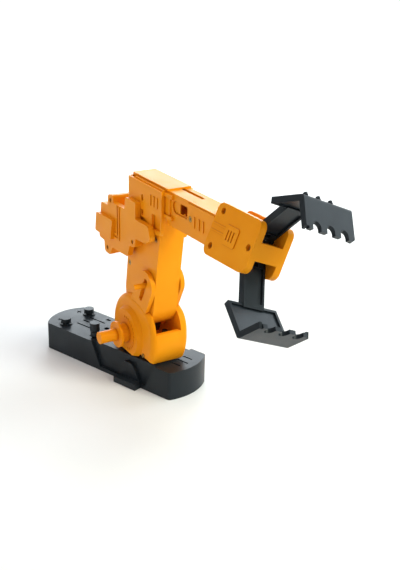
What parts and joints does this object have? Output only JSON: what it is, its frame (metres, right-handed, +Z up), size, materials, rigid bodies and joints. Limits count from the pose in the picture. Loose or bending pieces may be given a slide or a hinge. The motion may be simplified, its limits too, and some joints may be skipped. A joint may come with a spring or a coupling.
{
  "type": "articulated toy robot arm",
  "caption": "Battery robot arm: turntable, hand-cranked shoulder, geared elbow, rolling wrist and two geared claw jaws on a flat base.",
  "frame": {"origin": "on the turret's yaw axis, at the bottom face of the base", "axes": "+Z up, +X along the base towards its short end, +Y to the side away from the crank"},
  "size_m": [0.2829, 0.1173, 0.1897],
  "materials": {
    "yellow_plastic": "satin moulded, orange-yellow",
    "black_plastic": "satin moulded, charcoal",
    "gear_plastic": "dark nylon",
    "steel": "yellow passivated zinc plate",
    "cell_jacket": "printed sleeve, no lettering",
    "contact_metal": "nickel plated spring steel",
    "circuit_board": "resin board",
    "motor_can": "plated can"
  },
  "bodies": {
    "base": {"base_housing": "black_plastic", "base_floor": "black_plastic", "battery_door": "black_plastic", "battery_cells": "cell_jacket", "battery_contacts": "contact_metal", "battery_wall": "black_plastic", "base_screws": "steel", "switch_board": "circuit_board", "turntable_spindle": "black_plastic", "spindle_washer": "steel", "turntable_ring": "black_plastic", "yaw_stop_post": "black_plastic", "button_rims": "black_plastic", "lever_axle": "black_plastic"},
    "turret": {"turret_frame": "yellow_plastic", "near_bearing_cover": "yellow_plastic", "far_bearing_cover": "yellow_plastic", "turret_screws": "steel"},
    "crank": {"crank_spindle": "yellow_plastic", "crank_pinion": "gear_plastic"},
    "arm": {"column_near_shell": "yellow_plastic", "column_far_shell": "yellow_plastic", "shoulder_pin": "yellow_plastic", "column_rack": "gear_plastic", "column_screws": "steel", "gearbox_front_case": "yellow_plastic", "gearbox_back_case": "yellow_plastic", "motor_cover": "yellow_plastic", "elbow_motor": "motor_can", "gearbox_screws": "steel"},
    "elbow_drive": {"elbow_drive_pinion": "gear_plastic"},
    "forearm": {"elbow_near_plate": "yellow_plastic", "elbow_far_plate": "yellow_plastic", "elbow_collar": "yellow_plastic", "elbow_cover": "yellow_plastic", "elbow_axle": "yellow_plastic", "elbow_gear": "gear_plastic", "forearm_near_shell": "yellow_plastic", "forearm_far_shell": "yellow_plastic", "forearm_screw": "steel"},
    "head": {"head_near_plate": "yellow_plastic", "head_far_plate": "yellow_plastic", "head_core": "yellow_plastic", "head_crossbar": "yellow_plastic", "wrist_spindle": "yellow_plastic", "jaw_pins": "steel", "head_screws": "steel"},
    "upper_jaw": {"upper_jaw_arm": "black_plastic", "upper_jaw_claw": "black_plastic", "upper_jaw_gear": "gear_plastic"},
    "lower_jaw": {"lower_jaw_arm": "black_plastic", "lower_jaw_claw": "black_plastic", "lower_jaw_gear": "gear_plastic"},
    "button_a": {"button_a": "black_plastic"},
    "button_b": {"button_b": "black_plastic"},
    "lever": {"selector_lever": "black_plastic"}
  },
  "joints": [
    {"name": "turret_yaw", "type": "hinge", "parent": "base", "child": "turret", "pos_m": [0, 0, 0.0262], "axis": [0, 0, 1], "range_deg": [-6, 35]},
    {"name": "shoulder", "type": "hinge", "parent": "turret", "child": "arm", "pos_m": [0.02094, -0.00737, 0.0827], "axis": [0.3322, 0.9432, 0], "range_deg": [-3, 10]},
    {"name": "crank", "type": "hinge", "parent": "turret", "child": "crank", "pos_m": [0, 0, 0.0379], "axis": [0.3322, 0.9432, 0], "range_deg": [-104, 32]},
    {"name": "elbow", "type": "hinge", "parent": "arm", "child": "forearm", "pos_m": [0.01415, -0.00498, 0.14], "axis": [0.3322, 0.9432, 0], "range_deg": [-12, 15]},
    {"name": "elbow_drive", "type": "hinge", "parent": "arm", "child": "elbow_drive", "pos_m": [0.01166, -0.00411, 0.1214], "axis": [0.3322, 0.9432, 0], "range_deg": [-50, 40]},
    {"name": "wrist_roll", "type": "hinge", "parent": "forearm", "child": "head", "pos_m": [0.09432, -0.03322, 0.1462], "axis": [0.9432, -0.3322, 0], "range_deg": [-60, 60]},
    {"name": "upper_jaw", "type": "hinge", "parent": "head", "child": "upper_jaw", "pos_m": [0.12846, -0.04316, 0.15102], "axis": [0.3076, 0.8736, -0.377], "range_deg": [-12, 27]},
    {"name": "lower_jaw", "type": "hinge", "parent": "head", "child": "lower_jaw", "pos_m": [0.12715, -0.04686, 0.14138], "axis": [0.3076, 0.8736, -0.377], "range_deg": [-27, 12]},
    {"name": "button_a_press", "type": "slide", "parent": "base", "child": "button_a", "axis": [0, 0, -1], "range_m": [0, 0.001], "stiffness_N_per_m": 250, "springref_m": -0.001},
    {"name": "button_b_press", "type": "slide", "parent": "base", "child": "button_b", "axis": [0, 0, -1], "range_m": [0, 0.001], "stiffness_N_per_m": 250, "springref_m": -0.001},
    {"name": "lever_tilt", "type": "hinge", "parent": "base", "child": "lever", "pos_m": [-0.041, -0.0134, 0.0182], "axis": [0, 1, 0], "range_deg": [-12, 12]}
  ],
  "couplings": [
    {"joint": "crank", "follows": "shoulder", "ratio": -10.364},
    {"joint": "elbow_drive", "follows": "elbow", "ratio": -3.2727},
    {"joint": "lower_jaw", "follows": "upper_jaw", "ratio": -1}
  ]
}
